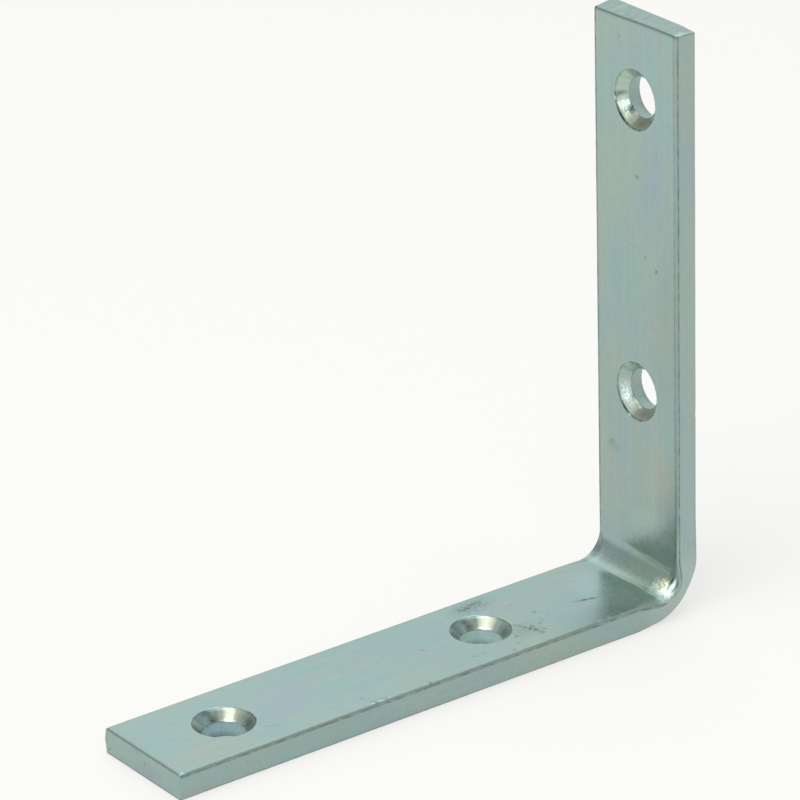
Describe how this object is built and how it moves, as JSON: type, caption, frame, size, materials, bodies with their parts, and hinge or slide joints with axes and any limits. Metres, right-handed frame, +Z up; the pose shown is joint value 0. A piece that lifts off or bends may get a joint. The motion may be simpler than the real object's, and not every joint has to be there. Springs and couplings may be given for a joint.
{
  "type": "corner brace",
  "caption": "Bent corner brace of flat zinc-plated steel strip, with countersunk screw holes in its legs.",
  "frame": {"origin": "centre of the bounding box at its underside, on the plane that the lying leg rests on", "axes": "+X along the lying leg towards the bend, +Y across the strip, +Z up along the upright"},
  "size_m": [0.1, 0.0206, 0.098],
  "materials": {
    "zinc_plated_steel": "bright zinc plate over cold rolled strip, satin with soft reflections"
  },
  "bodies": {
    "root": {"corner_brace": "zinc_plated_steel"}
  },
  "joints": []
}
